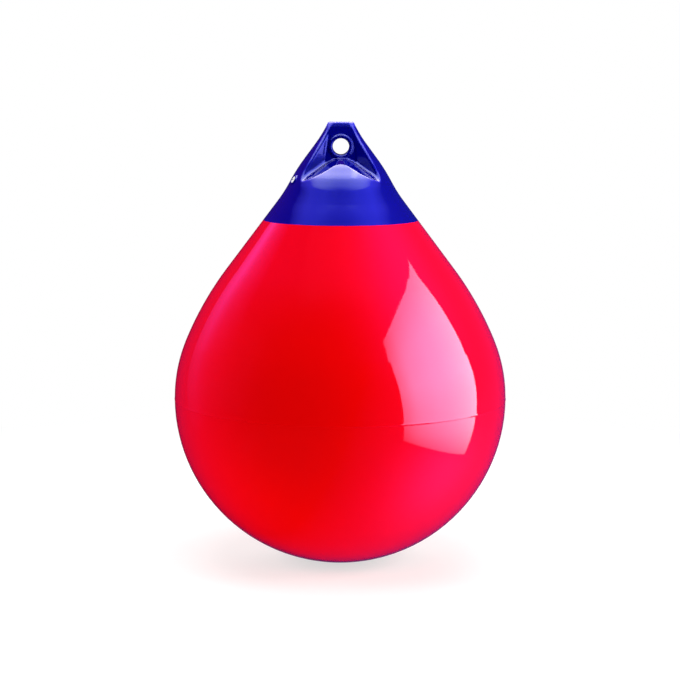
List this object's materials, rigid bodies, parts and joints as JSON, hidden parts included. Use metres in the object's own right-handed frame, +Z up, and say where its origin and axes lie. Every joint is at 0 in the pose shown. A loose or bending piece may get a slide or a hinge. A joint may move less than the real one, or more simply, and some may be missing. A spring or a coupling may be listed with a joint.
{
  "type": "inflatable buoy",
  "caption": "Teardrop inflatable marker buoy with a glossy red hollow vinyl body, a blue moulded rope hold with an eye on top, and an air valve screw in the neck.",
  "frame": {"origin": "centre of the rope eye, midway through the web", "axes": "+Z up along the buoy's axis, +Y along the rope eye, away from the picture's viewer, +X to the right in the picture"},
  "size_m": [0.4345, 0.4346, 0.5767],
  "materials": {
    "red_vinyl": "glossy soft vinyl",
    "blue_vinyl": "glossy hard vinyl",
    "white_plastic": "moulded nylon"
  },
  "bodies": {
    "root": {"float_body": "red_vinyl", "rope_hold": "blue_vinyl", "valve_screw": "white_plastic"}
  },
  "joints": []
}
